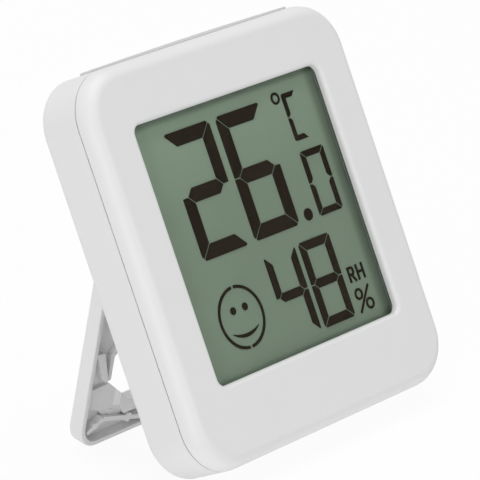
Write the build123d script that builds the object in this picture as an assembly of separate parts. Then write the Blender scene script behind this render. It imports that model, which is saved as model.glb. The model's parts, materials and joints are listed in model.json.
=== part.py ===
from build123d import *
from math import acos, atan2, cos, degrees, hypot, radians, sin, sqrt
import os

# A small indoor climate meter: a white case with a recessed display, leaning back on a kickstand
# that folds out of its back. Sizes are millimetres. Each piece is drawn with the case upright:
# x runs to the right as seen from the front, y runs back from the front face, z runs up from the
# bottom of the case. At the end everything leans back together until it stands on the table.

# Case: its width, height and depth follow from the display, the board and the cell inside it
case_corner = 8.0
case_wall = 1.4
rear_edge = 1.2
front_edge_width = 2.1
front_edge_depth = 3.1
bezel_wall = 1.6
seam_width = 0.15
seam_depth = 0.5

# Display window in the bezel
window_width = 43.7
window_side_ease = 0.2
window_height = 42.0
window_corner = 1.5
window_depth = 1.3
window_round = 0.7

# Display glass
polariser_thickness = 0.2
glass_thickness = 0.55
crystal_thickness = 0.1
polariser_overlap = 0.8
glass_overlap = 1.3
seal_width = 0.7
contact_ledge = 2.6

# Display holder and the strip that joins the glass to the board
holder_wall = 1.25
holder_low_wall = 0.625
holder_back = 0.6
holder_clearance = 0.15
strip_height = 1.6
strip_inset = 2.65

# Main board
board_thickness = 1.0
board_gap = 1.3
board_clearance = 0.1
board_side_gap = 1.0
board_below_top = 7.1
board_bottom_height = 8.2
board_corner = 1.5

# Screws
case_screw_inset = 2.6
case_screw_low = 5.2
case_screw_below_top = 4.475
case_screw_radius = 0.8
case_screw_length = 4.2
case_screw_head_radius = 1.6
case_screw_head_height = 1.2
case_screw_clearance = 0.15
case_boss_radius = 1.9
boss_gap = 0.825
housing_boss_radius = 2.6
thread_clearance = 0.02
screw_seat = 1.3
board_screw_inset = 1.6
board_screw_low = 12.0
board_screw_below_top = 11.0
board_screw_radius = 0.55
board_screw_length = 2.8
board_screw_head_radius = 1.15
board_screw_head_height = 0.8
board_post_radius = 1.35
post_gap = 0.3
board_screw_clearance = 0.1
screw_head_edge = 0.2
cross_slot_width = 0.4
cross_slot_depth = 0.45
cross_slot_share = 0.62

# Kickstand
stand_inset = 2.65
stand_thickness = 2.65
stand_tip_height = 2.7
stand_corner = 4.2
stand_open_angle = 37.0
stand_skin = 1.0
stand_rim = 0.9
stand_edge = 0.3
stand_rib = 0.8
stand_rib_drop = 0.25
stand_window_top = 14.0
stand_window_bottom = 27.9
stand_window_inset = 6.15
stand_window_cut_x = 5.2
stand_window_cut_z = 4.5
stand_hollow_top = 3.0
stand_knee_drop = 1.5
stand_toe_x = 10.1
stand_brace_top = 16.3
stand_brace_width = 2.1
stand_border_rise = 0.85
stand_border_end = 22.7
stand_shelf_x = 18.8
stand_shelf_corner = 28.1
stand_shelf_foot_x = 17.4
stand_shelf_foot = 30.1
stand_shelf_rise = 1.2
stand_ramp_x = 21.2
stand_ramp_rise = 1.1
stand_web_rise = 0.65
stand_web_top = 23.5
stand_web_side = 26.4
stand_web_corner_x = 23.0
stand_web_corner = 28.1
stand_web_foot_x = 21.2
stand_peg_radius = 0.8
stand_bump_radius = 0.6
pin_radius = 0.7
pin_reach = 1.5
pin_clearance = 0.05
pin_end_gap = 0.15

# Recess in the back that the kickstand folds into
recess_gap = 0.3
recess_side_gap = 0.35
recess_wall = 1.0

# Tooth on the kickstand that stops it when it is open
tooth_width = 6.0
tooth_inner = 0.3
tooth_outer = 1.0
tooth_gap = 0.1
tooth_side_gap = 0.4

# Battery cover and the well behind it
cover_thickness = 1.2
wall_below_cover = 1.7
cover_gap = 0.2
flange_gap = 0.1
ridge_depth = 3.95
ridge_rise = 0.54
ridge_end_rise = 0.36
cover_seat_gap = 0.15
cover_ledge = 1.6
tongue_length = 3.0
tongue_reach = 0.7
tongue_thickness = 0.5
tongue_low = 3.0
tongue_high = 14.0
tongue_gap = 0.15
cover_travel = 3.5
grip_count = 5
grip_length = 14.0
grip_width = 0.7
grip_depth = 0.35
grip_pitch = 1.6
grip_rise = 11.0
well_ledge = 1.8
well_wall = 0.8
well_margin = 0.7

# Coin cell, a 20 mm by 3.2 mm size, and its springs
cell_radius = 10.0
cell_thickness = 3.2
cell_edge = 0.3
cell_rim = 0.9
cell_step = 0.3
cell_clearance = 0.3
seat_height = 2.2
spring_sheet = 0.25
spring_rise = 0.5
spring_width = 5.0
spring_finger_width = 2.0
spring_tail_width = 1.2
negative_plate = 9.0
positive_foot = 3.0
tail_clearance = 0.2

# Pieces on the board
controller_radius = 4.6
controller_height = 1.2
controller_height_above_base = 27.0
sensor_size = 3.0
sensor_height = 1.0
sensor_hole_radius = 0.6
sensor_x = -14.0
sensor_height_above_base = 13.0
crystal_radius = 0.85
crystal_length = 6.0
crystal_x = 11.0
crystal_height_above_base = 31.5
chip_length = 1.6
chip_width = 0.8
capacitor_height = 0.8
resistor_height = 0.45
chip_pitch = 3.2
capacitor_count = 4
resistor_count = 5
chip_row_height = 19.0
chip_row_left = -8.0
chip_row_pitch = 3.0
switch_size = 3.6
switch_plunger_radius = 0.9
switch_plunger_height = 0.25
vent_count = 5
vent_width = 1.0
vent_length = 7.0
vent_pitch = 2.4

# Unit button
button_x = 15.0
button_height_above_base = 24.0
button_radius = 2.0
button_flange_radius = 2.8
button_flange_thickness = 0.3
button_flange_gap = 0.15
button_clearance = 0.3
button_recess = 0.15
button_travel = 0.28
button_end_gap = 0.07
button_edge = 0.2

# Flats worn where the case and the kickstand touch the table
table_flat = 0.08

# Figures on the display: places are from the window's upper left corner
figure_gap = 0.2
figure_chamfer = 0.3
large_left = 6.95
large_top = 2.79
large_height = 20.5
large_stroke = 2.37
large_gap = 1.5
medium_gap = 0.95
medium_stroke = 1.5
small_width = 5.72
small_height = 10.75
small_stroke = 1.1
column_gap = 5.15
row_gap = 2.75
right_margin = 2.7
bottom_margin = 1.86
unit_indent = 0.1
unit_top = 2.84
unit_width = 3.2
unit_height = 7.9
unit_stroke = 0.85
degree_gap = 1.35
degree_y = 3.2
degree_radius = 1.0
degree_stroke = 0.4
point_gap = 2.55
point_radius = 1.0
face_x = 11.0
face_drop = 0.28
face_radius = 5.1
face_stroke = 0.5
face_gap = 0.5
face_space = 3.6
eye_spread = 1.4
eye_rise = 1.35
eye_radius = 0.62
mouth_half = 3.15
mouth_drop = 2.0
mouth_lower_sag = 1.2
mouth_upper_sag = 0.6
humidity_indent = 1.8
humidity_gap = 1.35
humidity_rise = 3.7
letter_width = 1.8
letter_height = 2.6
letter_stroke = 0.44
letter_round = 0.6
letter_pitch = 2.1
letter_waist = 1.35
percent_width = 3.9
percent_height = 3.95
percent_ring = 0.97
percent_stroke = 0.4

# Across the front, from the middle of the display to the side of the case
window_left = -window_width / 2
glass_half = window_width / 2 + glass_overlap
holder_half = glass_half + holder_clearance + holder_wall
board_screw_x = holder_half + post_gap + board_post_radius
board_half = board_screw_x + board_screw_inset
case_width = 2 * (board_half + board_side_gap + bezel_wall)
stand_half = case_width / 2 - stand_inset
recess_half = stand_half + recess_side_gap
stand_window_side = stand_half - stand_window_inset
cover_half = case_width / 2 - case_corner
cover_slot_half = cover_half + cover_gap
well_half = cover_half - well_ledge
case_screw_x = well_half - case_screw_inset

# Up the front, from the base of the case to its top
holder_bottom = case_screw_low + case_boss_radius + boss_gap
front_glass_bottom = holder_bottom + holder_low_wall + holder_clearance
rear_glass_bottom = front_glass_bottom + contact_ledge
window_bottom = rear_glass_bottom + glass_overlap
window_top = window_bottom + window_height
window_middle = (window_bottom + window_top) / 2
glass_top = window_top + glass_overlap
holder_top = glass_top + holder_clearance + holder_wall
case_screw_high = holder_top + boss_gap + case_boss_radius
case_height = case_screw_high + case_screw_below_top
board_screw_high = case_height - board_screw_below_top
board_top_height = case_height - board_below_top
flange_bottom = case_height - case_wall + cover_gap

# From the front face to the back
lcd_front = window_depth
front_glass_near = lcd_front + polariser_thickness
crystal_near = front_glass_near + glass_thickness
rear_glass_near = crystal_near + crystal_thickness
reflector_near = rear_glass_near + glass_thickness
lcd_back = reflector_near + polariser_thickness
board_near = lcd_back + board_gap
board_far = board_near + board_thickness
screw_seat_depth = board_far + board_clearance + screw_seat
well_floor_far = board_far + board_clearance + well_wall
cell_near = well_floor_far + spring_rise
case_depth = cell_near + cell_thickness + cell_clearance + cover_thickness
axis_depth = case_depth - stand_thickness / 2
stand_near = case_depth - stand_thickness
recess_floor = stand_near - recess_gap
recess_inside = recess_floor - recess_wall
cover_near = case_depth - cover_thickness
cover_seat = cover_near - cover_seat_gap
flange_near = front_edge_depth + flange_gap

# Down the back: the cell under the top wall, the cover over it, the kickstand below the cover
well_top = case_height - case_wall - well_wall
cell_height = well_top - cell_clearance - cell_radius
well_bottom = cell_height - cell_radius - cell_clearance
cover_bottom_height = well_bottom - well_margin
cover_slot_bottom = cover_bottom_height - cover_gap
tooth_reach = axis_depth - recess_floor - tooth_gap
tooth_length = (tooth_reach - tooth_inner * cos(radians(stand_open_angle))) / sin(radians(stand_open_angle))
tooth_top = cover_slot_bottom - wall_below_cover
stand_axis_height = tooth_top - recess_side_gap - hypot(tooth_length, tooth_outer)
stand_length = stand_axis_height - stand_tip_height
recess_top = stand_axis_height + stand_thickness / 2 + recess_side_gap

# On the display
small_left = window_width - right_margin - small_width
large_width = (small_left - column_gap - large_gap - large_left) / 2
large_pitch = large_width + large_gap
small_top = large_top + large_height - small_height
unit_left = small_left + unit_indent
degree_x = small_left - degree_gap
point_x = small_left - point_gap
point_y = large_top + large_height - point_radius
humidity_left = small_left + humidity_indent
medium_left = face_x + face_radius + face_space
medium_width = (humidity_left - humidity_gap - medium_gap - medium_left) / 2
medium_pitch = medium_width + medium_gap
medium_top = large_top + large_height + row_gap
medium_height = window_height - bottom_margin - medium_top
face_y = medium_top + medium_height / 2 + face_drop
percent_top = window_height - bottom_margin - percent_height
humidity_top = percent_top - humidity_rise

# Unit button
button_far = recess_floor - button_recess
button_near = recess_inside - button_flange_gap - button_flange_thickness
plunger_far = button_near - button_travel - button_end_gap
switch_far = plunger_far - switch_plunger_height


# Helpers: flat outlines lie in the front plane and get their depth from front to back

def layer(outline, near, far):
    return Pos(0, near, 0) * extrude(Plane.XZ * outline, amount=far - near, dir=(0, 1, 0))


def box(left, right, near, far, bottom, top):
    size = Box(right - left, far - near, top - bottom)
    return Pos((left + right) / 2, (near + far) / 2, (bottom + top) / 2) * size


def rod(x, height, radius, near, far):
    return layer(Pos(x, height) * Circle(radius), near, far)


def rounded_plate(half, bottom, top, corner, near, far):
    outline = Pos(0, (bottom + top) / 2) * RectangleRounded(2 * half, top - bottom, corner)
    return layer(outline, near, far)


def case_outline(inset):
    outline = RectangleRounded(case_width - 2 * inset, case_height - 2 * inset, case_corner - inset)
    return Pos(0, case_height / 2) * outline


# Case

def front_form():
    # The front edge is a quarter ellipse, carried along the sides and round the four corners
    flat = case_corner - front_edge_width
    edge = EllipticalCenterArc(
        (flat, front_edge_depth), front_edge_width, front_edge_depth, start_angle=270, arc_size=90
    )
    border = [
        edge,
        Line((case_corner, front_edge_depth), (0, front_edge_depth)),
        Line((0, front_edge_depth), (0, 0)),
        Line((0, 0), (flat, 0)),
    ]
    section = make_face(border)
    across = case_width / 2 - case_corner
    up = case_height / 2 - case_corner
    corner = revolve(section, axis=Axis.Y, revolution_arc=90)
    bars = [extrude(section, amount=2 * up), extrude(section, amount=2 * across)]
    middle = case_height / 2
    form = box(-across, across, 0, front_edge_depth, middle - up, middle + up)
    centres = [(across, -up), (-across, -up), (-across, up), (across, up)]
    for quarter, (x, z) in enumerate(centres):
        place = Pos(x, 0, z + middle) * Rot(0, 90 * quarter, 0)
        form += place * corner
        form += place * bars[quarter % 2]
    return form


def front_bezel():
    bezel = front_form()
    bezel -= layer(case_outline(bezel_wall), window_depth, front_edge_depth)
    # The opening is a little wider than the field that the figures are laid out in
    window = RectangleRounded(window_width + 2 * window_side_ease, window_height, window_corner)
    bezel -= layer(Pos(0, window_middle) * window, 0, window_depth)
    rim = bezel.faces().sort_by(Axis.Y)[0].inner_wires()[0].edges()
    bezel = fillet(rim, window_round)
    for height in (case_screw_low, case_screw_high):
        for x in (-case_screw_x, case_screw_x):
            boss = rod(x, height, case_boss_radius, window_depth, board_far)
            tip = screw_seat_depth - case_screw_length - thread_clearance
            boss -= rod(x, height, case_screw_radius + thread_clearance, tip, board_far)
            bezel += boss
    for height in (board_screw_low, board_screw_high):
        for x in (-board_screw_x, board_screw_x):
            post = rod(x, height, board_post_radius, window_depth, board_near)
            tip = board_far - board_screw_length - thread_clearance
            post -= rod(x, height, board_screw_radius + thread_clearance, tip, board_near)
            bezel += post
    return bezel


def stand_outline(gap):
    # The closed kickstand seen from behind, grown by a gap
    half = stand_half + gap
    bottom = stand_tip_height - gap
    top = stand_axis_height
    corner = stand_corner + gap
    lower = Pos(0, (bottom + top) / 2) * RectangleRounded(2 * half, top - bottom, corner)
    upper = Pos(0, top - corner) * Rectangle(2 * half, 2 * corner)
    return lower + upper


def recess_form(grow, near, far):
    form = layer(stand_outline(recess_side_gap + grow), near, far)
    return form + box(-recess_half - grow, recess_half + grow, near, far,
                      stand_axis_height - stand_corner, recess_top + grow)


def rear_housing():
    outer = layer(case_outline(0), front_edge_depth, case_depth)
    back_edges = outer.faces().sort_by(Axis.Y)[-1].edges()
    outer = fillet(back_edges, rear_edge)
    seam = case_outline(0) - case_outline(seam_depth)
    outer -= layer(seam, front_edge_depth, front_edge_depth + seam_width)
    cavity = layer(case_outline(case_wall), front_edge_depth, case_depth - case_wall)
    # Walls that stand in the cavity: round the kickstand's recess, the tooth slot and the well
    inner_back = case_depth - case_wall
    kept = recess_form(recess_wall, recess_inside, inner_back)
    tooth_half = tooth_width / 2 + tooth_side_gap
    kept += box(-tooth_half - recess_wall, tooth_half + recess_wall, recess_inside, inner_back,
                recess_top, tooth_top + recess_wall)
    kept += box(-well_half - well_wall, well_half + well_wall, board_far + board_clearance, inner_back,
                well_bottom - well_wall, case_height - case_wall)
    kept += box(-cover_slot_half, cover_slot_half, front_edge_depth, inner_back, well_top,
                case_height - case_wall)
    ledge_half = cover_slot_half + cover_ledge
    kept += box(-ledge_half, ledge_half, recess_inside, inner_back,
                cover_slot_bottom - well_wall, case_height - case_wall)
    for x in (-case_screw_x, case_screw_x):
        kept += rod(x, case_screw_low, housing_boss_radius, board_far + board_clearance, inner_back)
    housing = outer - (cavity - kept)
    # Recess for the kickstand, with the slot for its tooth and the holes for its pins
    housing -= recess_form(0, recess_floor, case_depth)
    housing -= box(-tooth_half, tooth_half, recess_floor, case_depth, recess_top - recess_side_gap, tooth_top)
    pin_far = stand_half + pin_reach + pin_end_gap
    housing -= Pos(0, axis_depth, stand_axis_height) * Rot(0, 90, 0) * Cylinder(
        pin_radius + pin_clearance, 2 * pin_far
    )
    # Well for the cell, and the slot that the cover closes
    housing -= box(-well_half, well_half, well_floor_far, case_depth, well_bottom, well_top)
    housing -= box(-cover_slot_half, cover_slot_half, cover_seat, case_depth,
                   cover_slot_bottom, case_height)
    housing -= box(-cover_slot_half, cover_slot_half, front_edge_depth, case_depth,
                   case_height - case_wall, case_height)
    for low in (tongue_low, tongue_high):
        start = cover_bottom_height + low - cover_gap
        notch = start + tongue_length + 2 * cover_gap
        groove_half = cover_half + tongue_reach + tongue_gap
        tongue_near = cover_near + (cover_thickness - tongue_thickness) / 2
        housing -= box(-groove_half, groove_half, tongue_near - tongue_gap,
                       tongue_near + tongue_thickness + tongue_gap, start, notch + cover_travel)
        housing -= box(-groove_half, groove_half, tongue_near - tongue_gap, case_depth,
                       notch, notch + cover_travel)
    # Round seat for the cell, open at the left for the side spring
    seat = rod(0, cell_height, cell_radius + cell_clearance + well_wall, well_floor_far,
               well_floor_far + seat_height)
    seat -= rod(0, cell_height, cell_radius + cell_clearance, well_floor_far, case_depth)
    seat_clear = spring_width / 2 + cell_clearance
    seat -= box(-well_half, 0, well_floor_far, case_depth, cell_height - seat_clear, cell_height + seat_clear)
    seat = seat & box(-well_half, well_half, well_floor_far, case_depth, well_bottom - well_wall, well_top)
    housing += seat
    # Screw bosses in the well, then the screw holes
    for x in (-case_screw_x, case_screw_x):
        boss = rod(x, case_screw_high, housing_boss_radius, board_far + board_clearance, screw_seat_depth)
        housing += boss & box(-well_half, well_half, 0, case_depth, well_bottom, case_height - case_wall)
        for height in (case_screw_low, case_screw_high):
            hole = case_screw_radius + case_screw_clearance
            housing -= rod(x, height, hole, front_edge_depth, screw_seat_depth)
        head = case_screw_head_radius + case_screw_clearance
        housing -= rod(x, case_screw_low, head, screw_seat_depth, recess_floor)
    # Slots for the contacts' tails
    for x in (contact_tail_x("negative"), contact_tail_x("positive")):
        slot = spring_tail_width / 2 + tail_clearance
        thin = spring_sheet / 2 + tail_clearance
        housing -= box(x - thin, x + thin, board_far, well_floor_far, cell_height - slot, cell_height + slot)
    # Hole for the unit button and slots that let room air reach the sensor
    housing -= rod(button_x, button_height_above_base, button_radius + button_clearance,
                   recess_inside, recess_floor)
    for place in range(vent_count):
        x = sensor_x + (place - (vent_count - 1) / 2) * vent_pitch
        slot = Pos(x, sensor_height_above_base) * SlotOverall(vent_length, vent_width, rotation=90)
        housing -= layer(slot, recess_inside, recess_floor)
    return housing


# Display

def front_polariser():
    half = window_width / 2 + polariser_overlap
    return box(-half, half, lcd_front, front_glass_near, window_bottom - polariser_overlap,
               window_top + polariser_overlap)


def front_glass():
    return box(-glass_half, glass_half, front_glass_near, crystal_near, front_glass_bottom, glass_top)


def rear_glass():
    return box(-glass_half, glass_half, rear_glass_near, reflector_near, rear_glass_bottom, glass_top)


def display_seal():
    ring = box(-glass_half, glass_half, crystal_near, rear_glass_near, rear_glass_bottom, glass_top)
    inner_half = glass_half - seal_width
    return ring - box(-inner_half, inner_half, crystal_near, rear_glass_near,
                      rear_glass_bottom + seal_width, glass_top - seal_width)


def reflector():
    return box(-glass_half, glass_half, reflector_near, lcd_back, rear_glass_bottom, glass_top)


def figure_polygons(width, height, stroke):
    # The seven bars of one digit, with mitred ends and cut outer corners
    step = figure_gap / sqrt(2)
    cut = figure_chamfer * stroke
    middle = height / 2
    near = (cut + step) / 2
    far = (cut - step) / 2
    bar = [(near, height - far), (cut, height), (width - cut, height), (width - near, height - far),
           (width - stroke - step, height - stroke), (stroke + step, height - stroke)]
    side = [(0, height - cut), (far, height - near), (stroke, height - stroke - step),
            (stroke, middle + stroke / 2 + step),
            (stroke / 2 + figure_gap / 2 - step, middle + figure_gap / 2), (0, middle + figure_gap / 2)]
    tip = stroke / 2 + step
    shoulder = stroke + step
    centre = [(tip, middle), (shoulder, middle + stroke / 2), (width - shoulder, middle + stroke / 2),
              (width - tip, middle), (width - shoulder, middle - stroke / 2), (shoulder, middle - stroke / 2)]
    down = [(x, height - z) for x, z in bar]
    lower_side = [(x, height - z) for x, z in side]
    return {
        "top": bar,
        "upper_left": side,
        "upper_right": [(width - x, z) for x, z in side],
        "middle": centre,
        "lower_left": lower_side,
        "lower_right": [(width - x, z) for x, z in lower_side],
        "bottom": down,
    }


def figure(left, top, width, height, stroke, lit):
    bars = figure_polygons(width, height, stroke)
    corner = Pos(window_left + left, window_top - top - height)
    return [corner * make_face(Polyline(*bars[name], close=True)) for name in lit]


def unit_letter():
    # The C, in two halves with a gap at its middle
    step = figure_gap / sqrt(2)
    cut = figure_chamfer * unit_stroke
    middle = unit_height / 2
    inner_top = unit_height - unit_stroke
    half = [(cut, unit_height), (unit_width, unit_height), (unit_width - unit_stroke, inner_top),
            (unit_stroke, inner_top), (unit_stroke, middle + unit_stroke / 2 + step),
            (unit_stroke / 2, middle + figure_gap / 2), (0, middle + figure_gap / 2), (0, unit_height - cut)]
    other = [(x, unit_height - z) for x, z in half]
    corner = Pos(window_left + unit_left, window_top - unit_top - unit_height)
    return [corner * make_face(Polyline(*points, close=True)) for points in (half, other)]


def ring(x, y, radius, stroke):
    return Pos(window_left + x, window_top - y) * (Circle(radius) - Circle(radius - stroke))


def smiling_face():
    loop = ring(face_x, face_y, face_radius, face_stroke)
    centre = Pos(window_left + face_x, window_top - face_y)
    loop -= centre * Rectangle(face_gap, 3 * face_radius)
    marks = [face for face in loop.faces()]
    for side in (-1, 1):
        marks.append(centre * Pos(side * eye_spread, eye_rise) * Circle(eye_radius))
    start = (-mouth_half, -mouth_drop)
    finish = (mouth_half, -mouth_drop)
    lower = ThreePointArc(start, (0, -mouth_drop - mouth_lower_sag), finish)
    upper = ThreePointArc(finish, (0, -mouth_drop - mouth_upper_sag), start)
    marks.append(centre * make_face([lower, upper]))
    return marks


def stroke_line(start, finish, stroke):
    return trace(Line(start, finish), line_width=stroke)


def humidity_letters():
    half = letter_stroke / 2
    low = -letter_height
    bowl = -letter_waist
    waist = letter_width - half
    left_stem = stroke_line((half, 0), (half, low), letter_stroke)
    head_height = half - bowl
    head = RectangleRounded(waist, head_height, letter_round)
    eye = RectangleRounded(waist - 2 * letter_stroke, head_height - 2 * letter_stroke,
                           letter_round - letter_stroke)
    r_head = Pos(waist / 2, -head_height / 2) * (head - eye)
    r_leg = stroke_line((waist / 2, bowl), (waist, low), letter_stroke)
    letter_r = left_stem + r_head + r_leg
    right_stem = stroke_line((waist, 0), (waist, low), letter_stroke)
    bridge = stroke_line((half, low / 2), (waist, low / 2), letter_stroke)
    letter_h = left_stem + right_stem + bridge
    corner = Pos(window_left + humidity_left, window_top - humidity_top)
    return [corner * letter_r, corner * Pos(letter_pitch, 0) * letter_h]


def percent_sign():
    upper = ring(humidity_left + percent_ring, percent_top + percent_ring, percent_ring, percent_stroke)
    lower = ring(humidity_left + percent_width - percent_ring, percent_top + percent_height - percent_ring,
                 percent_ring, percent_stroke)
    corner = Pos(window_left + humidity_left, window_top - percent_top)
    slash = stroke_line((percent_stroke / 2, -percent_height), (percent_width - percent_stroke / 2, 0),
                        percent_stroke)
    return [upper, lower, corner * slash]


def display_segments():
    everything = ["top", "upper_left", "upper_right", "middle", "lower_left", "lower_right", "bottom"]
    two = [name for name in everything if name not in ("upper_left", "lower_right")]
    six = [name for name in everything if name != "upper_right"]
    zero = [name for name in everything if name != "middle"]
    four = ["upper_left", "upper_right", "middle", "lower_right"]
    marks = figure(large_left, large_top, large_width, large_height, large_stroke, two)
    marks += figure(large_left + large_pitch, large_top, large_width, large_height, large_stroke, six)
    marks += figure(small_left, small_top, small_width, small_height, small_stroke, zero)
    marks += figure(medium_left, medium_top, medium_width, medium_height, medium_stroke, four)
    marks += figure(medium_left + medium_pitch, medium_top, medium_width, medium_height, medium_stroke,
                    everything)
    marks += unit_letter()
    marks.append(ring(degree_x, degree_y, degree_radius, degree_stroke))
    marks.append(Pos(window_left + point_x, window_top - point_y) * Circle(point_radius))
    marks += smiling_face()
    marks += humidity_letters()
    marks += percent_sign()
    solids = []
    for mark in marks:
        solids += layer(mark, crystal_near, rear_glass_near).solids()
    return Compound(solids)


def display_holder():
    outer = box(-holder_half, holder_half, lcd_front + holder_clearance, board_near,
                holder_bottom, holder_top)
    inner_half = glass_half + holder_clearance
    outer -= box(-inner_half, inner_half, lcd_front, lcd_back, front_glass_bottom - holder_clearance,
                 glass_top + holder_clearance)
    rim = holder_wall + holder_clearance
    outer -= box(-inner_half + rim, inner_half - rim, lcd_back + holder_back, board_near,
                 rear_glass_bottom + rim, glass_top - rim)
    strip_half = glass_half - strip_inset + holder_clearance
    outer -= box(-strip_half, strip_half, lcd_front, board_near, strip_bottom() - holder_clearance,
                 strip_bottom() + strip_height + holder_clearance)
    return outer


def strip_bottom():
    return front_glass_bottom + (contact_ledge - strip_height) / 2


def connector_strip():
    bottom = strip_bottom()
    half = glass_half - strip_inset
    return box(-half, half, crystal_near, board_near, bottom, bottom + strip_height)


# Board and what is soldered to it

def main_board():
    board = rounded_plate(board_half, board_bottom_height, board_top_height, board_corner,
                          board_near, board_far)
    for height in (board_screw_low, board_screw_high):
        for x in (-board_screw_x, board_screw_x):
            board -= rod(x, height, board_screw_radius + board_screw_clearance, board_near, board_far)
    return board


def display_controller():
    # A shallow round drop of resin
    ball = (controller_radius ** 2 + controller_height ** 2) / (2 * controller_height)
    centre = board_far + controller_height - ball
    drop = Pos(0, centre, controller_height_above_base) * Sphere(ball)
    return drop & rod(0, controller_height_above_base, 2 * controller_radius, board_far,
                      board_far + controller_height)


def climate_sensor():
    half = sensor_size / 2
    height = sensor_height_above_base
    sensor = box(sensor_x - half, sensor_x + half, board_far, board_far + sensor_height,
                 height - half, height + half)
    return sensor - rod(sensor_x, height, sensor_hole_radius, board_far + sensor_height / 2,
                        board_far + sensor_height)


def clock_crystal():
    can = Rot(0, 90, 0) * Cylinder(crystal_radius, crystal_length)
    return Pos(crystal_x, board_far + crystal_radius, crystal_height_above_base) * can


def chip_row(count, height_above_base, chip_height):
    chips = []
    for place in range(count):
        x = chip_row_left + place * chip_pitch
        chips.append(box(x, x + chip_length, board_far, board_far + chip_height,
                         height_above_base, height_above_base + chip_width))
    return Compound(chips)


def unit_switch():
    half = switch_size / 2
    height = button_height_above_base
    body = box(button_x - half, button_x + half, board_far, switch_far, height - half, height + half)
    return body + rod(button_x, height, switch_plunger_radius, switch_far, plunger_far)


def unit_button():
    button = rod(button_x, button_height_above_base, button_radius, button_near, button_far)
    rear_rim = button.faces().sort_by(Axis.Y)[-1].edges()
    button = fillet(rear_rim, button_edge)
    return button + rod(button_x, button_height_above_base, button_flange_radius, button_near,
                        button_near + button_flange_thickness)


# Power

def coin_cell():
    can = rod(0, cell_height, cell_radius, cell_near + cell_step, cell_near + cell_thickness)
    rear_rim = can.faces().sort_by(Axis.Y)[-1].edges()
    can = fillet(rear_rim, cell_edge)
    return can + rod(0, cell_height, cell_radius - cell_rim, cell_near, cell_near + cell_step)


def contact_tail_x(name):
    if name == "negative":
        return negative_plate / 2 - spring_sheet / 2
    return -cell_radius - positive_foot


def contact_tail(name):
    x = contact_tail_x(name)
    half = spring_tail_width / 2
    return box(x - spring_sheet / 2, x + spring_sheet / 2, board_far, well_floor_far + spring_sheet,
               cell_height - half, cell_height + half)


def negative_contact():
    half = negative_plate / 2
    plate = box(-half, half, well_floor_far, well_floor_far + spring_sheet,
                cell_height - half, cell_height + half)
    finger = spring_finger_width / 2
    for side in (-1, 1):
        middle = cell_height + side * spring_finger_width
        plate += box(-finger, finger, well_floor_far, cell_near, middle - finger / 2, middle + finger / 2)
    return plate + contact_tail("negative")


def positive_contact():
    half = spring_width / 2
    foot = box(contact_tail_x("positive") - spring_sheet / 2, -cell_radius, well_floor_far,
               well_floor_far + spring_sheet, cell_height - half, cell_height + half)
    wall = box(-cell_radius - spring_sheet, -cell_radius, well_floor_far, cell_near + cell_thickness,
               cell_height - half, cell_height + half)
    return foot + wall + contact_tail("positive")


def cover_ridge():
    # A ridge to push against, along the top of the case and a little higher at its middle
    end = case_height + ridge_end_rise
    crown = ThreePointArc((-cover_half, end), (0, case_height + ridge_rise), (cover_half, end))
    foot = Polyline((cover_half, end), (cover_half, flange_bottom), (-cover_half, flange_bottom),
                    (-cover_half, end))
    return layer(make_face([crown, foot]), flange_near, flange_near + ridge_depth)


def battery_cover():
    plate = box(-cover_half, cover_half, cover_near, case_depth, cover_bottom_height, case_height)
    flange = box(-cover_half, cover_half, flange_near, case_depth, flange_bottom, case_height)
    cover = plate + flange
    back_top = cover.edges().filter_by(Axis.X).sort_by(lambda edge: edge.center().Y + edge.center().Z)[-1]
    cover = fillet(back_top, rear_edge) + cover_ridge()
    for low in (tongue_low, tongue_high):
        start = cover_bottom_height + low
        tongue_near = cover_near + (cover_thickness - tongue_thickness) / 2
        cover += box(-cover_half - tongue_reach, cover_half + tongue_reach, tongue_near,
                     tongue_near + tongue_thickness, start, start + tongue_length)
    for place in range(grip_count):
        height = cover_bottom_height + grip_rise + (place - (grip_count - 1) / 2) * grip_pitch
        groove = Pos(0, height) * SlotOverall(grip_length, grip_width)
        cover -= layer(groove, case_depth - grip_depth, case_depth)
    return cover


# Fasteners

def screw(x, height, seat, radius, length, head_radius, head_height):
    body = rod(x, height, radius, seat - length, seat)
    head = rod(x, height, head_radius, seat, seat + head_height)
    head = fillet(head.faces().sort_by(Axis.Y)[-1].edges(), screw_head_edge)
    reach = head_radius * cross_slot_share
    half = cross_slot_width / 2
    far = seat + head_height
    near = far - cross_slot_depth
    head -= box(x - reach, x + reach, near, far, height - half, height + half)
    head -= box(x - half, x + half, near, far, height - reach, height + reach)
    return body + head


def case_screws():
    screws = []
    for height in (case_screw_low, case_screw_high):
        for x in (-case_screw_x, case_screw_x):
            screws.append(screw(x, height, screw_seat_depth, case_screw_radius, case_screw_length,
                                case_screw_head_radius, case_screw_head_height))
    return Compound(screws)


def board_screws():
    screws = []
    for height in (board_screw_low, board_screw_high):
        for x in (-board_screw_x, board_screw_x):
            screws.append(screw(x, height, board_far, board_screw_radius, board_screw_length,
                                board_screw_head_radius, board_screw_head_height))
    return Compound(screws)


# Kickstand, drawn closed and then swung open about its pins

def stand_window(grow):
    side = stand_window_side + grow
    top = stand_axis_height - stand_window_top + grow
    bottom = stand_axis_height - stand_window_bottom - grow
    cut_x = stand_window_cut_x
    cut_z = stand_window_cut_z
    points = [(-side, bottom + cut_z), (-side + cut_x, bottom), (side - cut_x, bottom),
              (side, bottom + cut_z), (side, top - cut_z), (side - cut_x, top), (-side + cut_x, top),
              (-side, top - cut_z)]
    return make_face(Polyline(*points, close=True))


def rib_between(start, finish):
    # A straight rib, its ends given across and down from the hinge
    path = Line((start[0], stand_axis_height - start[1]), (finish[0], stand_axis_height - finish[1]))
    return trace(path, line_width=stand_rib)


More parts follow.
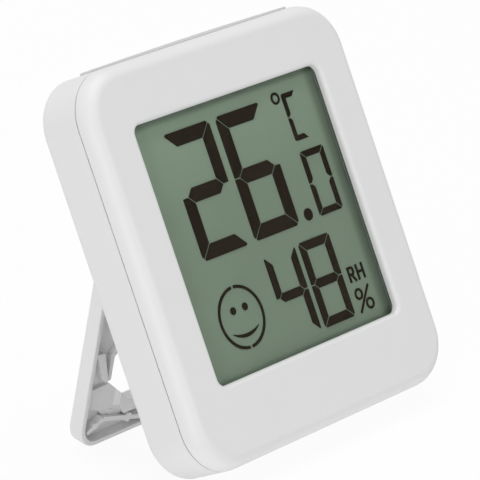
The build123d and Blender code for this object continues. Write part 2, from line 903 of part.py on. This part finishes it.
def stand_ribs():
    side = stand_half - stand_rim
    foot = stand_length - stand_rim
    lower_corner = (-side + stand_rim, foot - 2 * stand_rim)
    knee = (-stand_window_side - stand_rib, stand_window_bottom + stand_knee_drop)
    toe = (-stand_toe_x, foot)
    ribs = rib_between(lower_corner, knee) + rib_between(knee, toe) + stand_brace()
    peg = ((knee[0] + toe[0]) / 2, stand_axis_height - (knee[1] + toe[1]) / 2)
    ribs += Pos(*peg) * Circle(stand_peg_radius)
    bump = ((knee[0] + lower_corner[0]) / 2, stand_axis_height - (knee[1] + lower_corner[1]) / 2)
    ribs += Pos(*bump) * Circle(stand_bump_radius)
    return mirrored_outline(ribs)


def stand_brace():
    # A gusset from the rim down to the foot of the window's border, wide at the rim
    side = stand_half - stand_rim
    elbow = stand_window_side + 2 * stand_rib
    top = stand_axis_height - stand_brace_top
    foot = stand_axis_height - stand_border_end + stand_rib / 2
    return make_face(Polyline((-side, top), (-side + stand_brace_width, top - stand_rib / 2),
                              (-elbow + stand_rib / 2, foot), (-elbow - stand_rib / 2, foot), close=True))


def stand_border():
    # A low border round the window, left open below
    upper_part = Pos(0, stand_axis_height - stand_border_end / 2) * Rectangle(
        2 * stand_half, stand_border_end
    )
    return (stand_window(stand_rib) - stand_window(0)) & upper_part


def stand_shelf():
    # A raised shelf under the window
    top = stand_window_bottom - stand_window_cut_z
    return mirrored_shape([(0, top), (stand_shelf_x, top), (stand_shelf_x, stand_shelf_corner),
                           (stand_shelf_foot_x, stand_shelf_foot), (0, stand_shelf_foot)])


def stand_ramps(floor):
    # Slopes from the floor up to the two sides of the shelf
    section = make_face(Polyline((stand_shelf_x, floor), (stand_ramp_x, floor),
                                 (stand_shelf_x, floor - stand_ramp_rise), close=True))
    length = stand_shelf_corner - stand_window_bottom + stand_window_cut_z
    ramp = Pos(0, 0, stand_axis_height - stand_shelf_corner) * extrude(section, amount=length, dir=(0, 0, 1))
    return ramp + mirror(ramp, about=Plane.YZ)


def stand_web():
    # The floor round the foot of the window, thicker than in the pockets below it
    side = stand_half - stand_rim
    return mirrored_shape([(0, stand_web_top), (side, stand_web_top), (side, stand_web_side),
                           (stand_web_corner_x, stand_web_corner), (stand_web_foot_x, stand_shelf_foot),
                           (0, stand_shelf_foot)])


def mirrored_shape(places):
    # Corners on the right half, given across and down from the hinge
    points = [(x, stand_axis_height - down) for x, down in places]
    points += [(-x, z) for x, z in reversed(points) if x > 0]
    return make_face(Polyline(*points, close=True))


def mirrored_outline(outline):
    return outline + mirror(outline, about=Plane.YZ)


def kickstand():
    plate = layer(stand_outline(0), stand_near, case_depth)
    across = Pos(0, axis_depth, stand_axis_height) * Rot(0, 90, 0)
    barrel = across * Cylinder(stand_thickness / 2, 2 * stand_half)
    rims = plate.faces().sort_by(Axis.Y)[0].edges() + plate.faces().sort_by(Axis.Y)[-1].edges()
    rims = [edge for edge in rims if edge.center().Z < stand_axis_height - stand_edge]
    plate = fillet(rims, stand_edge)
    body = plate + barrel
    hollow_half = stand_half - stand_rim
    hollow_bottom = stand_tip_height + stand_rim
    hollow_top = stand_axis_height - stand_hollow_top
    hollow_corner = stand_corner - stand_rim
    hollow = rounded_plate(hollow_half, hollow_bottom, hollow_top, hollow_corner, stand_near,
                           case_depth - stand_skin)
    hollow += box(-hollow_half, hollow_half, stand_near, case_depth - stand_skin,
                  hollow_top - 2 * hollow_corner, hollow_top)
    body -= hollow
    floor = case_depth - stand_skin
    ribs = layer(stand_ribs(), stand_near + stand_rib_drop, floor)
    room = box(-stand_half, stand_half, stand_near, case_depth, hollow_bottom - stand_rim / 2, hollow_top)
    body += ribs & room
    body += layer(stand_border(), floor - stand_border_rise, floor)
    body += layer(stand_shelf(), floor - stand_shelf_rise, floor)
    body += layer(stand_web(), floor - stand_web_rise, floor)
    body += stand_ramps(floor)
    body -= layer(stand_window(0), stand_near, case_depth)
    tooth_half = tooth_width / 2
    body += box(-tooth_half, tooth_half, axis_depth - tooth_inner, axis_depth + tooth_outer,
                stand_axis_height, stand_axis_height + tooth_length)
    body += across * Cylinder(pin_radius, 2 * (stand_half + pin_reach))
    swing = Pos(0, axis_depth, stand_axis_height) * Rot(stand_open_angle, 0, 0)
    return swing * Pos(0, -axis_depth, -stand_axis_height) * body


# The lean that brings the case's rear lower edge and the kickstand's foot to the table together

def lean_angle():
    open_angle = radians(stand_open_angle)
    along = stand_length - stand_edge
    inward = stand_thickness / 2 - stand_edge
    foot_y = axis_depth + along * sin(open_angle) - inward * cos(open_angle)
    foot_z = stand_axis_height - along * cos(open_angle) - inward * sin(open_angle)
    run = foot_y - (case_depth - rear_edge)
    rise = foot_z - rear_edge
    return degrees(acos((stand_edge - rear_edge) / hypot(run, rise)) - atan2(run, rise))


pieces = {
    "front_bezel": front_bezel(),
    "rear_housing": rear_housing(),
    "front_polariser": front_polariser(),
    "front_glass": front_glass(),
    "display_seal": display_seal(),
    "display_segments": display_segments(),
    "rear_glass": rear_glass(),
    "reflector": reflector(),
    "display_holder": display_holder(),
    "connector_strip": connector_strip(),
    "main_board": main_board(),
    "display_controller": display_controller(),
    "climate_sensor": climate_sensor(),
    "clock_crystal": clock_crystal(),
    "capacitors": chip_row(capacitor_count, chip_row_height, capacitor_height),
    "resistors": chip_row(resistor_count, chip_row_height - chip_row_pitch, resistor_height),
    "unit_switch": unit_switch(),
    "unit_button": unit_button(),
    "coin_cell": coin_cell(),
    "negative_contact": negative_contact(),
    "positive_contact": positive_contact(),
    "battery_cover": battery_cover(),
    "case_screws": case_screws(),
    "board_screws": board_screws(),
    "kickstand": kickstand(),
}

lean = Rot(-lean_angle(), 0, 0)
leaning = {name: lean * piece for name, piece in pieces.items()}
table = leaning["rear_housing"].bounding_box().min.Z + table_flat
for name in ("rear_housing", "kickstand"):
    under = Pos(0, 0, table - case_height) * Box(4 * case_width, 4 * case_height, 2 * case_height)
    leaning[name] = leaning[name] - under
boxes = [piece.bounding_box() for piece in leaning.values()]
middle_y = (min(limits.min.Y for limits in boxes) + max(limits.max.Y for limits in boxes)) / 2
settle = Pos(0, -middle_y, -table)

os.makedirs("parts", exist_ok=True)
for name, piece in leaning.items():
    export_step(settle * piece, f"parts/{name}.step")

hinge = settle * lean * Pos(0, axis_depth, stand_axis_height)
print("lean angle", round(lean_angle(), 4))
print("hinge axis point", hinge.position)
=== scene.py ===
import json
import math

import bmesh
import bpy
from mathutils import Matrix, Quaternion, Vector


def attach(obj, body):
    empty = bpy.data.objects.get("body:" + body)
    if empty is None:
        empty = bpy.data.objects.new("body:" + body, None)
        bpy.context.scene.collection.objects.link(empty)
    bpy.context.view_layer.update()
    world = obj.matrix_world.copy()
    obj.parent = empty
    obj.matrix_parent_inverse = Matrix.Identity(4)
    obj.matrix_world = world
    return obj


# A white room thermometer with a recessed display, leaning back on its kickstand.
# Metres throughout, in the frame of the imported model.

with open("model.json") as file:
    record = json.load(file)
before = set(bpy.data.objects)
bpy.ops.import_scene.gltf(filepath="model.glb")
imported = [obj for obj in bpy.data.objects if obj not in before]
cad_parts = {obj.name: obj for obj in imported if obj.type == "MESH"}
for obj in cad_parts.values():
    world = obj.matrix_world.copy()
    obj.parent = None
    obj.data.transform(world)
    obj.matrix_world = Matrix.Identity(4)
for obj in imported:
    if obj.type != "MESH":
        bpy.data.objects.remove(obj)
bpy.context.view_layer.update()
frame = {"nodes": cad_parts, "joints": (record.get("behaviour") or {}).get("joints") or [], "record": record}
nodes = frame["nodes"]
joints = {joint["name"]: joint for joint in frame["joints"]}
mm = 0.001
print("frame loaded:", len(nodes), "pieces")

# the case's own directions, read from its joints
right = Vector((1, 0, 0))
up = Vector(joints["battery_cover_slide"]["axis"]).normalized()
back = -Vector(joints["unit_button_press"]["axis"]).normalized()


def reach(name, way):
    # lowest and highest place of a piece along a direction
    spots = [vertex.co.dot(way) for vertex in nodes[name].data.vertices]
    return min(spots), max(spots)


# camera

view = {
    "place": (-0.423833, -0.358516, 0.229195),
    "aim": (-0.003251, -0.001138, 0.031657),
    "roll": 0.24,                     # degrees
    "lens": 280.52,
    "sensor": 36.0,
    "nearest": 0.01,
    "farthest": 20.0,
}


def makeCamera(look):
    data = bpy.data.cameras.new("photoCamera")
    data.lens = look["lens"]
    data.sensor_width = look["sensor"]
    data.sensor_fit = "HORIZONTAL"
    data.clip_start = look["nearest"]
    data.clip_end = look["farthest"]
    camera = bpy.data.objects.new("photoCamera", data)
    bpy.context.scene.collection.objects.link(camera)
    place = Vector(look["place"])
    ahead = (Vector(look["aim"]) - place).to_track_quat("-Z", "Y")
    camera.rotation_mode = "QUATERNION"
    camera.rotation_quaternion = ahead @ Quaternion((0, 0, 1), math.radians(look["roll"]))
    camera.location = place
    bpy.context.scene.camera = camera


makeCamera(view)
bpy.context.scene.view_settings.view_transform = "Standard"
print("camera made")


# materials: sums on sockets, and one way to add any node

class Wire:
    # the output of a node, used in sums like a number
    def __init__(self, graph, socket):
        self.graph = graph
        self.socket = socket

    def maths(self, operation, *values, clamp=False):
        settings = {"operation": operation, "use_clamp": clamp}
        return self.graph.add("Math", settings, dict(enumerate(values)))

    def __add__(self, other):
        return self.maths("ADD", self, other)

    def __radd__(self, other):
        return self.maths("ADD", other, self)

    def __sub__(self, other):
        return self.maths("SUBTRACT", self, other)

    def __rsub__(self, other):
        return self.maths("SUBTRACT", other, self)

    def __mul__(self, other):
        return self.maths("MULTIPLY", self, other)

    def __rmul__(self, other):
        return self.maths("MULTIPLY", other, self)

    def __truediv__(self, other):
        return self.maths("DIVIDE", self, other)

    def __rtruediv__(self, other):
        return self.maths("DIVIDE", other, self)

    def clamped(self):
        return self.maths("ADD", self, 0.0, clamp=True)


def rgba(value):
    return (*value, 1.0) if isinstance(value, tuple) and len(value) == 3 else value


class Graph:
    # a node tree that is filled from code
    def __init__(self, owner):
        owner.use_nodes = True
        self.tree = owner.node_tree
        self.tree.nodes.clear()

    def add(self, kind, settings=None, sockets=None, output=0):
        node = self.tree.nodes.new("ShaderNode" + kind)
        for label, value in (settings or {}).items():
            if label == "stops":
                self.setStops(node.color_ramp, value)
            else:
                setattr(node, label, value)
        for label, value in (sockets or {}).items():
            if isinstance(value, Wire):
                self.tree.links.new(value.socket, node.inputs[label])
            elif value is not None:
                socket = node.inputs[label]
                socket.default_value = rgba(value) if socket.type == "RGBA" else value
        return Wire(self, node.outputs[output]) if len(node.outputs) else None

    def setStops(self, ramp, stops):
        while len(ramp.elements) < len(stops):
            ramp.elements.new(1.0)
        for element, (place, level) in zip(ramp.elements, stops):
            element.position = place
            element.color = (level, level, level, 1.0)

    def place(self):
        return self.add("TexCoord", output="Object")

    def along(self, way):
        sockets = {0: self.place(), 1: way}
        return self.add("VectorMath", {"operation": "DOT_PRODUCT"}, sockets, output="Value")

    def noise(self, size, detail=2.0, roughness=0.5):
        sockets = {"Vector": self.place(), "Scale": 1.0 / size, "Detail": detail, "Roughness": roughness}
        return self.add("TexNoise", sockets=sockets)

    def ramp(self, value, *stops):
        return self.add("ValToRGB", {"stops": stops}, {"Fac": value})

    def profile(self, distance, stops):
        # a level that follows a distance, given as pairs of millimetres and level
        span = stops[-1][0]
        return self.ramp(distance / (span * mm), *[(spot / span, level) for spot, level in stops])

    def blend(self, share, first, second):
        # colours are mixed here, because a sum would turn them grey
        sockets = {0: share, 6: rgba(first), 7: rgba(second)}     # 6 and 7 take the colours
        return self.add("Mix", {"data_type": "RGBA"}, sockets, output=2)

    def bump(self, height, depth, under=None):
        sockets = {"Height": height, "Distance": depth, "Strength": 1.0, "Normal": under}
        return self.add("Bump", sockets=sockets)

    def openness(self, far):
        # 1 in the open, lower where walls close in
        return self.add("AmbientOcclusion", {"samples": 8}, {"Distance": far}, output="AO")

    def edges(self, far):
        # 1 on flat stretches, lower along outer edges
        return self.add("AmbientOcclusion", {"samples": 6, "inside": True}, {"Distance": far}, output="AO")

    def rounded(self, radius):
        return self.add("Bevel", {"samples": 4}, {"Radius": radius})


class Finish(Graph):
    # one material, with its Principled shader and whatever feeds it
    def __init__(self, name, **fixed):
        self.material = bpy.data.materials.new(name)
        super().__init__(self.material)
        self.result = self.add("BsdfPrincipled")
        self.shader = self.result.socket.node
        self.show(self.result)
        for label, value in fixed.items():
            self.put(label, value)

    def show(self, surface):
        old = self.tree.get_output_node("ALL")
        if old:
            self.tree.nodes.remove(old)
        self.add("OutputMaterial", sockets={"Surface": surface})

    def put(self, label, value):
        # Base_Color and Base Color are the same socket
        socket = self.shader.inputs[label.replace("_", " ")]
        if isinstance(value, Wire):
            self.tree.links.new(value.socket, socket)
        else:
            socket.default_value = rgba(value) if socket.type == "RGBA" else value


def grey(level):
    return (level, level, level)


def shade(tone, share):
    return tuple(level * share for level in tone)


# white plastic

plasticLooks = {
    "case_plastic": {"tone": grey(0.745), "rough": 0.46, "grain": 0.22 * mm, "depth": 0.010 * mm},
    "cover_plastic": {"tone": grey(0.745), "rough": 0.47, "grain": 0.24 * mm, "depth": 0.012 * mm},
    "stand_plastic": {"tone": grey(0.745), "rough": 0.44, "grain": 0.22 * mm, "depth": 0.010 * mm},
    "button_plastic": {"tone": grey(0.70), "rough": 0.36, "grain": 0.30 * mm, "depth": 0.004 * mm},
}

# resin tone, wear and gloss, and painted shade in corners and seams
plasticWearAndShade = {
    "mottle": 9 * mm,                 # slow drift of the resin's shade
    "mottleShare": 0.5,
    "speckle": 0.5 * mm,
    "speckleShare": 0.15,
    "drift": 0.965,                   # the darkest drift, as a share of the tone
    "creviceShadeReach": 0.7 * mm,            # how far painted shade reaches from a corner or seam
    "creviceShadeStops": ((0.12, 0.0), (0.60, 1.0)),
    "creviceShadeTone": 0.82,
    "edgeReach": 0.35 * mm,
    "edgeStops": ((0.35, 1.0), (0.80, 0.0)),
    "edgeGloss": 0.07,                # handled edges are smoother
    "edgeRadius": 0.10 * mm,
    "scuff": 2.5 * mm,
    "scuffSpan": 0.10,                # from the smoothest to the dullest scuff
    "waves": 14 * mm,                 # faint unevenness of a moulded wall
    "waveDepth": 0.04 * mm,
}


def whitePlastic(name, look, wear):
    made = Finish(name, IOR=1.46, Specular_IOR_Level=0.42)
    tone = look["tone"]
    mottle = made.noise(wear["mottle"], detail=3.0)
    speckle = made.noise(wear["speckle"])
    patch = mottle * wear["mottleShare"] + speckle * wear["speckleShare"]
    base = made.blend(patch, tone, shade(tone, wear["drift"]))
    # painted shade: the base colour is darkened in corners, seams and recesses, where walls close in
    unshaded = made.ramp(made.openness(wear["creviceShadeReach"]), *wear["creviceShadeStops"])
    made.put("Base_Color", made.blend(unshaded, shade(tone, wear["creviceShadeTone"]), base))
    worn = made.ramp(made.edges(wear["edgeReach"]), *wear["edgeStops"])
    scuff = made.noise(wear["scuff"], detail=4.0, roughness=0.7)
    smoothest = look["rough"] - wear["scuffSpan"] / 2
    made.put("Roughness", smoothest + scuff * wear["scuffSpan"] - worn * wear["edgeGloss"])
    grain = made.noise(look["grain"], roughness=0.6)
    waves = made.noise(wear["waves"], detail=1.0)
    soft = made.bump(waves, wear["waveDepth"], made.rounded(wear["edgeRadius"]))
    made.put("Normal", made.bump(grain, look["depth"], soft))
    return made.material


# display

displayLook = {
    "cell": (0.284, 0.378, 0.276),
    "cellSpread": 0.92,               # the darkest fleck, as a share of the cell's colour
    "fleck": 0.12 * mm,
    "fleckShare": 0.35,
    "cloud": 22 * mm,
    "cloudShare": 0.3,
    "figures": (0.021, 0.016, 0.010),
    "figureSpread": 1.4,
    "figureFleck": 0.2 * mm,
    "figureShare": 0.5,
    "film": grey(0.05),
    "filmShare": 0.02,
    "glassShare": 0.01,
    "haze": 4 * mm,
    "hazeSpan": 0.06,
    # painted shade on the cell: millimetres in from the right or upper edge, and how bright the cell is
    # painted there
    "rightShade": [(0.0, 0.72), (1.0, 0.66), (1.8, 0.58), (2.3, 0.65), (2.8, 0.79), (3.3, 0.90),
                   (30.0, 0.91), (45.0, 1.0)],
    "topShade": [(0.0, 0.60), (0.5, 0.60), (0.75, 0.72), (1.0, 0.87), (1.25, 0.97), (1.5, 1.0)],
    "heightShade": [(0.0, 1.0), (3.0, 1.0), (5.0, 0.953), (7.0, 0.913), (9.0, 0.887), (11.0, 0.87),
                    (15.0, 0.805), (25.0, 0.785), (42.0, 0.778)],
    "shadeRight": 1.05 * mm,          # the right-hand painted shade starts this far outside the window
    "hiddenRight": 0.6 * mm,          # how much of the film its frame covers
    "hiddenTop": 0.8 * mm,
}


def cellFinish(look):
    # the lit back of the display, with painted shade near the rim that hides its edge, and painted shade
    # that deepens towards the bottom
    rightEdge = reach("front_polariser", right)[1] - look["hiddenRight"]
    upperEdge = reach("front_polariser", up)[1] - look["hiddenTop"]
    made = Finish("displayCell", Roughness=0.55, Specular_IOR_Level=0.1)
    fleck = made.noise(look["fleck"]) * look["fleckShare"]
    cloud = made.noise(look["cloud"], detail=1.0) * look["cloudShare"]
    base = made.blend(fleck + cloud, look["cell"], shade(look["cell"], look["cellSpread"]))
    side = made.profile((rightEdge + look["shadeRight"]) - made.along(right), look["rightShade"])
    below = upperEdge - made.along(up)
    # painted shade: the cell's colour is scaled down near the right and upper rim and towards the bottom
    level = side * made.profile(below, look["topShade"]) * made.profile(below, look["heightShade"])
    made.put("Base_Color", made.blend(level, grey(0.0), base))
    return made.material


def figureFinish(look):
    made = Finish("displayFigures", Roughness=0.6, Specular_IOR_Level=0.02)
    fleck = made.noise(look["figureFleck"]) * look["figureShare"]
    made.put("Base_Color", made.blend(fleck, look["figures"], shade(look["figures"], look["figureSpread"])))
    return made.material


def clearFinish(name, look, share, rough):
    made = Finish(name, Base_Color=look["film"], Alpha=share, IOR=1.49, Specular_IOR_Level=0.1)
    haze = made.noise(look["haze"], detail=3.0)
    made.put("Roughness", rough + haze * look["hazeSpan"])
    return made.material


# inner pieces: each slot's finish name, colour, roughness and metallic share

innerLooks = {
    "display_seal": ("displaySeal", (0.30, 0.36, 0.30), 0.4, 0.0),
    "holder_plastic": ("holderPlastic", grey(0.62), 0.5, 0.0),
    "connector_rubber": ("connectorRubber", (0.42, 0.22, 0.24), 0.7, 0.0),
    "resin": ("resin", grey(0.012), 0.22, 0.0),
    "sensor_body": ("sensorBody", grey(0.03), 0.5, 0.0),
    "capacitor_ceramic": ("capacitorCeramic", (0.28, 0.17, 0.09), 0.5, 0.0),
    "resistor_ceramic": ("resistorCeramic", grey(0.025), 0.35, 0.0),
    "switch_body": ("switchBody", grey(0.04), 0.4, 0.0),
    "cell_steel": ("cellSteel", (0.62, 0.60, 0.56), 0.26, 1.0),
    "nickel_plate": ("nickelPlate", (0.66, 0.63, 0.58), 0.24, 1.0),
    "screw_steel": ("screwSteel", (0.55, 0.55, 0.56), 0.32, 1.0),
}

innerWear = {
    "grain": 0.4 * mm,
    "depth": 0.004 * mm,
    "patch": 2.0 * mm,                # uneven colour
    "patchTone": 0.88,
    "sheen": 1.2 * mm,                # uneven gloss
    "sheenSpan": 0.12,
}


def innerFinish(name, tone, rough, metal, wear):
    made = Finish(name, Metallic=metal)
    patch = made.noise(wear["patch"], detail=3.0)
    made.put("Base_Color", made.blend(patch, tone, shade(tone, wear["patchTone"])))
    glossiest = rough - wear["sheenSpan"] / 2
    sheen = made.noise(wear["sheen"], detail=3.0)
    made.put("Roughness", glossiest + sheen * wear["sheenSpan"])
    made.put("Normal", made.bump(made.noise(wear["grain"]), wear["depth"]))
    return made.material


boardLook = {
    "cells": 2.4 * mm,                # spacing of the copper tracks
    "trackStops": ((0.06, 1.0), (0.10, 0.0)),
    "ground": (0.018, 0.105, 0.045),
    "track": (0.035, 0.20, 0.075),
    "rough": 0.30,
    "smear": 3 * mm,
    "smearSpan": 0.08,
    "copper": 0.02 * mm,
}


def boardFinish(look):
    made = Finish("boardLaminate", IOR=1.5)
    cells = made.add("TexVoronoi", {"feature": "DISTANCE_TO_EDGE", "distance": "EUCLIDEAN"},
                     {"Vector": made.place(), "Scale": 1.0 / look["cells"]}, output="Distance")
    track = made.ramp(cells, *look["trackStops"])
    made.put("Base_Color", made.blend(track, look["ground"], look["track"]))
    made.put("Roughness", look["rough"] + made.noise(look["smear"]) * look["smearSpan"])
    made.put("Normal", made.bump(track, look["copper"]))
    return made.material


finishes = {name: whitePlastic(name, look, plasticWearAndShade) for name, look in plasticLooks.items()}
finishes["display_reflector"] = cellFinish(displayLook)
finishes["display_figures"] = figureFinish(displayLook)
finishes["polariser_film"] = clearFinish("polariserFilm", displayLook, displayLook["filmShare"], 0.22)
finishes["display_glass"] = clearFinish("displayGlass", displayLook, displayLook["glassShare"], 0.06)
finishes["board_laminate"] = boardFinish(boardLook)
for slot, look in innerLooks.items():
    finishes[slot] = innerFinish(*look, innerWear)

slotOf = {row["node"]: row["material_slot"] for row in frame["record"]["subparts"]}
slotOf["rear_glass"] = "display_reflector"      # its near face is the display's visible ground


def dress(piece, finish):
    if not piece.material_slots:
        piece.data.materials.append(finish)
    for holder in piece.material_slots:
        holder.material = finish


for name, piece in nodes.items():
    dress(piece, finishes[slotOf[name]])
print("finishes made:", len(finishes))


# small raised marks of the moulds, drawn in millimetres on the face that they stand on

markLook = {
    "sunk": 0.05 * mm,                # how far a mark goes into its wall
    "edge": 0.03 * mm,
    "edgeSteps": 2,
    "joined": 0.001 * mm,             # corners nearer than this become one
    "outside": 100 * mm,              # the search for a wall starts this far off
}


def meeting(name, spot, way):
    # where a line first meets a piece
    return nodes[name].ray_cast(spot - way * markLook["outside"], way)[1]


def arc(centre, radius, stroke, begin, end, steps=14):
    turns = [math.radians(begin + (end - begin) * step / steps) for step in range(steps + 1)]
    inside = radius - stroke
    outer = [(centre[0] + radius * math.cos(turn), centre[1] + radius * math.sin(turn)) for turn in turns]
    turns.reverse()
    inner = [(centre[0] + inside * math.cos(turn), centre[1] + inside * math.sin(turn)) for turn in turns]
    return outer + inner


def ring(centre, radius, stroke):
    return [arc(centre, radius, stroke, 0, 180), arc(centre, radius, stroke, 180, 360)]


def disc(centre, radius, steps=24):
    turns = [math.tau * step / steps for step in range(steps)]
    return [(centre[0] + radius * math.cos(turn), centre[1] + radius * math.sin(turn)) for turn in turns]


def raisedMark(name, look, spot):
    across, upward = look["across"], look["upward"]
    outward = across.cross(upward)
    foot = spot - outward * markLook["sunk"]
    shape = bmesh.new()
    for outline in look["outlines"]:
        corners = [shape.verts.new(foot + (x * across + y * upward) * mm) for x, y in outline]
        shape.faces.new(corners)
    bmesh.ops.remove_doubles(shape, verts=shape.verts[:], dist=markLook["joined"])
    grown = bmesh.ops.extrude_face_region(shape, geom=shape.faces[:])
    top = [item for item in grown["geom"] if isinstance(item, bmesh.types.BMVert)]
    bmesh.ops.translate(shape, verts=top, vec=outward * (look["rise"] + markLook["sunk"]))
    bmesh.ops.recalc_face_normals(shape, faces=shape.faces[:])
    mesh = bpy.data.meshes.new(name)
    shape.to_mesh(mesh)
    shape.free()
    piece = bpy.data.objects.new(name, mesh)
    bpy.context.scene.collection.objects.link(piece)
    softened = piece.modifiers.new("softEdge", "BEVEL")
    softened.width = markLook["edge"]
    softened.segments = markLook["edgeSteps"]
    mesh.materials.append(finishes[look["slot"]])
    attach(piece, look["body"])


# an arrow on the battery cover, under its grip, for the way that it slides
coverArrow = {
    "body": "cover", "slot": "cover_plastic", "rise": 0.15 * mm, "across": -right, "upward": up,
    "aboveEdge": 4.0 * mm,            # from the cover's lower edge
    "outlines": [[(-2.3, -0.9), (0.0, 1.3), (2.3, -0.9), (1.5, -0.9), (0.0, 0.55), (-1.5, -0.9)]],
}
arrowHeight = reach("battery_cover", up)[0] + coverArrow["aboveEdge"]
raisedMark("coverArrow", coverArrow, meeting("battery_cover", up * arrowHeight, -back))

# the two units beside the button that changes them, on the floor of the stand's recess
unitLegend = {
    "body": "case", "slot": "case_plastic", "rise": 0.12 * mm, "across": -right, "upward": up,
    "belowButton": 3.0 * mm,
    "outlines": [
        *ring((-2.55, 1.32), 0.28, 0.13),
        arc((-1.35, 0.8), 0.8, 0.27, 48, 312),
        [(-0.4, 0.0), (-0.12, 0.0), (0.5, 1.6), (0.22, 1.6)],
        *ring((1.0, 1.32), 0.28, 0.13),
        [(1.5, 0.0), (1.78, 0.0), (1.78, 0.66), (2.4, 0.66), (2.4, 0.92), (1.78, 0.92), (1.78, 1.34),
         (2.55, 1.34), (2.55, 1.6), (1.5, 1.6)],
    ],
}
buttonX = sum(reach("unit_button", right)) / 2
legendHeight = reach("unit_button", up)[0] - unitLegend["belowButton"]
raisedMark("unitLegend", unitLegend, meeting("rear_housing", right * buttonX + up * legendHeight, -back))

# two ejector pin marks on the stand's floor, placed from its hinge
hinge = joints["kickstand_hinge"]
standTurn = Quaternion(hinge["axis"], math.radians(-hinge["range_deg"][0]))
standUp = standTurn @ up
standBack = standTurn @ back
standPin = {
    "body": "stand", "slot": "stand_plastic", "rise": 0.15 * mm, "across": right, "upward": standUp,
    "side": 20.3 * mm,
    "down": 29.1 * mm,
    "outlines": [disc((0.0, 0.0), 0.55)],
}
for name, side in {"standPinLeft": -standPin["side"], "standPinRight": standPin["side"]}.items():
    pinSpot = Vector(hinge["pos_m"]) + right * side - standUp * standPin["down"]
    raisedMark(name, standPin, meeting("kickstand", pinSpot, standBack))
print("raised marks made")


# floor and light

stageLook = {
    "reach": 3.0,
    "cells": 8,
    "tone": 0.86,
    "speck": 30 * mm,
    "speckTone": 0.985,
    "whiteShare": 0.93,               # the rest of what is seen is lit paper, with the object's shadow
    "lift": 0.42,                     # glow that lights the object from below, as a pale table does
    "sky": 0.45,
}


def seenDirectly(graph):
    # rays that show the white ground itself, rather than its light on the object
    kinds = ("Is Camera Ray", "Is Glossy Ray", "Is Transmission Ray")
    camera, glossy, through = [graph.add("LightPath", output=kind) for kind in kinds]
    return (camera + glossy + through).clamped()


def makeFloor(look):
    mesh = bpy.data.meshes.new("floor")
    shape = bmesh.new()
    bmesh.ops.create_grid(shape, x_segments=look["cells"], y_segments=look["cells"], size=look["reach"])
    shape.to_mesh(mesh)
    shape.free()
    floor = bpy.data.objects.new("floor", mesh)
    bpy.context.scene.collection.objects.link(floor)
    paper = Finish("paper", Roughness=0.9, Specular_IOR_Level=0.1)
    speck = paper.noise(look["speck"])
    paper.put("Base_Color", paper.blend(speck, grey(look["tone"]), grey(look["tone"] * look["speckTone"])))
    glow = paper.add("Emission", sockets={"Color": grey(1.0), "Strength": 1.0})
    share = seenDirectly(paper) * (look["whiteShare"] - look["lift"]) + look["lift"]
    paper.show(paper.add("MixShader", sockets={0: share, 1: paper.result, 2: glow}))
    mesh.materials.append(paper.material)


def makeWorld(look):
    world = bpy.data.worlds.new("studio")
    bpy.context.scene.world = world
    sky = Graph(world)
    lit = sky.add("Background", sockets={"Color": grey(1.0), "Strength": look["sky"]})
    shown = sky.add("Background", sockets={"Color": grey(1.0), "Strength": 1.0})
    mixed = sky.add("MixShader", sockets={0: seenDirectly(sky), 1: lit, 2: shown})
    sky.add("OutputWorld", sockets={"Surface": mixed})


lamps = {
    "top": {"place": (0.05, 0.10, 0.85), "size": 0.60, "power": 4.0},
    "front": {"place": (-0.05, -0.95, 0.135), "size": 0.27, "power": 1.06},
    "side": {"place": (-0.75, -0.25, 0.15), "size": 0.30, "power": 1.90},
}
lampAim = Vector((0, 0, 30 * mm))     # the middle of the object


def makeLamp(name, look):
    data = bpy.data.lights.new(name, "AREA")
    data.shape = "SQUARE"
    data.size = look["size"]
    data.energy = look["power"]
    lamp = bpy.data.objects.new(name, data)
    bpy.context.scene.collection.objects.link(lamp)
    lamp.location = look["place"]
    lamp.rotation_mode = "QUATERNION"
    lamp.rotation_quaternion = (lampAim - Vector(look["place"])).to_track_quat("-Z", "Y")


makeFloor(stageLook)
makeWorld(stageLook)
for name, look in lamps.items():
    makeLamp(name, look)
print("floor and light made")

print("done")
